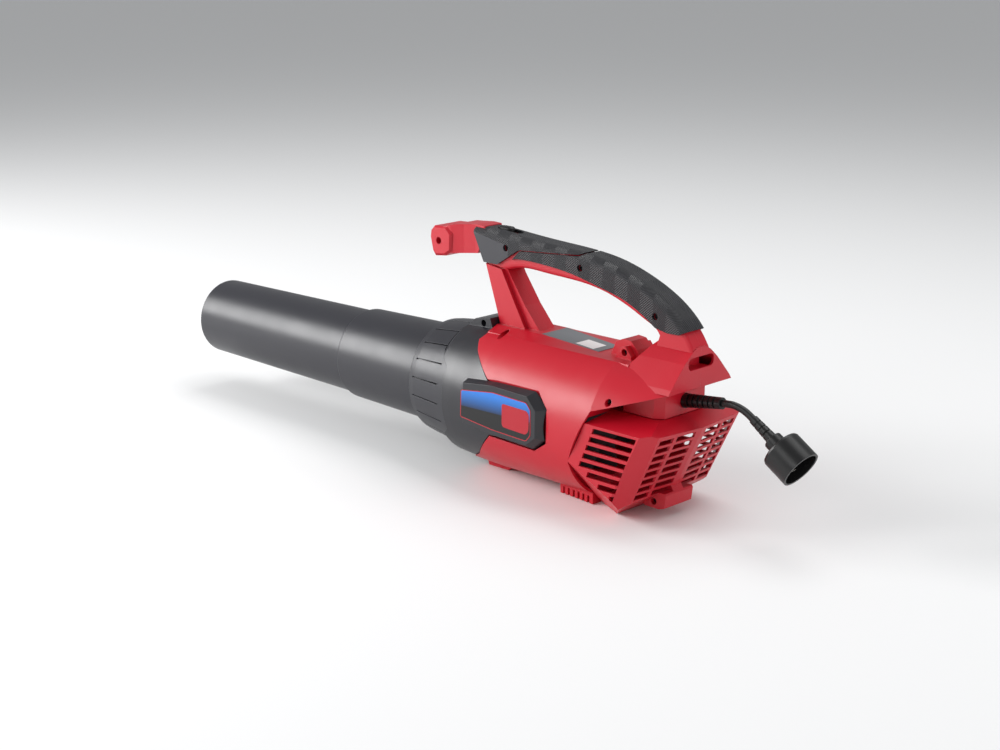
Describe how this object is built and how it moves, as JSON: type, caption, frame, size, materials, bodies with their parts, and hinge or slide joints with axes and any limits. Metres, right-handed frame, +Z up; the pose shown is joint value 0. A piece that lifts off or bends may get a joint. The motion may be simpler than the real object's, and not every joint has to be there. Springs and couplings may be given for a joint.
{
  "type": "handheld corded leaf blower",
  "caption": "Handheld electric leaf blower with a straight outlet tube, a round motor barrel, a looped top handle with soft grips, a slotted rear intake and a short mains lead.",
  "frame": {"origin": "on the ground under the middle of the machine's length, on its left-right mid plane", "axes": "+X towards the air intake and the plug, with the tube's outlet at -X; +Z up; the operator's left side is -Y"},
  "size_m": [0.9197, 0.1726, 0.2703],
  "materials": {
    "red_shell": "semi-matte moulded red",
    "tube_plastic": "semi-matte charcoal",
    "collar_plastic": "satin charcoal",
    "cuff_plastic": "satin charcoal",
    "grip_rubber": "fine ribbed soft grip",
    "grille_plastic": "semi-matte moulded red",
    "inner_plastic": "plain black",
    "fan_plastic": "glass-filled, dull",
    "seal_rubber": "dull",
    "side_label_print": "printed film, a blue band over black",
    "rating_label_print": "printed film, grey",
    "motor_iron": "stacked sheet steel",
    "copper": "enamelled copper",
    "steel": "ground",
    "spring_steel": "drawn wire",
    "brush_carbon": "sintered carbon",
    "screw_steel": "black zinc plated",
    "lead_insulation": "insulation",
    "cord_rubber": "satin black",
    "plug_rubber": "satin black",
    "blade_metal": "nickel plated",
    "slider_plastic": "ridged, satin black"
  },
  "bodies": {
    "machine": {"brush_holders": "blade_metal", "brush_springs": "spring_steel", "carbon_brushes": "brush_carbon", "cuff_left": "cuff_plastic", "cuff_right": "cuff_plastic", "cuff_screw": "screw_steel", "fan_shroud": "red_shell", "field_coils": "copper", "front_bearing": "steel", "grille_screw": "screw_steel", "grip_front_left": "grip_rubber", "grip_front_right": "grip_rubber", "grip_rear_left": "grip_rubber", "grip_rear_right": "grip_rubber", "grip_screws": "screw_steel", "guide_vanes": "inner_plastic", "housing_left": "red_shell", "housing_right": "red_shell", "housing_screws": "screw_steel", "intake_grille_left": "grille_plastic", "intake_grille_right": "grille_plastic", "motor_end_bell": "steel", "outlet_cone": "inner_plastic", "outlet_duct": "inner_plastic", "plug_blades": "blade_metal", "plug_body": "plug_rubber", "plug_sleeve": "plug_rubber", "power_cord": "cord_rubber", "power_leads": "lead_insulation", "rating_label": "rating_label_print", "rear_bearing": "steel", "side_label_left": "side_label_print", "side_label_right": "side_label_print", "stator_core": "motor_iron", "strain_relief": "cord_rubber", "switch_body": "inner_plastic", "tube_seal": "seal_rubber"},
    "tube": {"nozzle_tube": "tube_plastic", "rear_tube": "tube_plastic", "lock_collar": "collar_plastic"},
    "rotor": {"fan": "fan_plastic", "fan_nut": "steel", "motor_shaft": "steel", "armature_core": "motor_iron", "armature_windings": "copper", "commutator": "copper"},
    "slider": {"speed_slider": "slider_plastic"}
  },
  "joints": [
    {"name": "tube_pull", "type": "slide", "parent": "machine", "child": "tube", "axis": [-1, 0, 0], "range_m": [0, 0.06]},
    {"name": "fan_spin", "type": "hinge", "parent": "machine", "child": "rotor", "pos_m": [0.2, 0, 0.086], "axis": [1, 0, 0], "continuous": true},
    {"name": "speed_slide", "type": "slide", "parent": "machine", "child": "slider", "axis": [1, 0, 0], "range_m": [0, 0.012]}
  ]
}
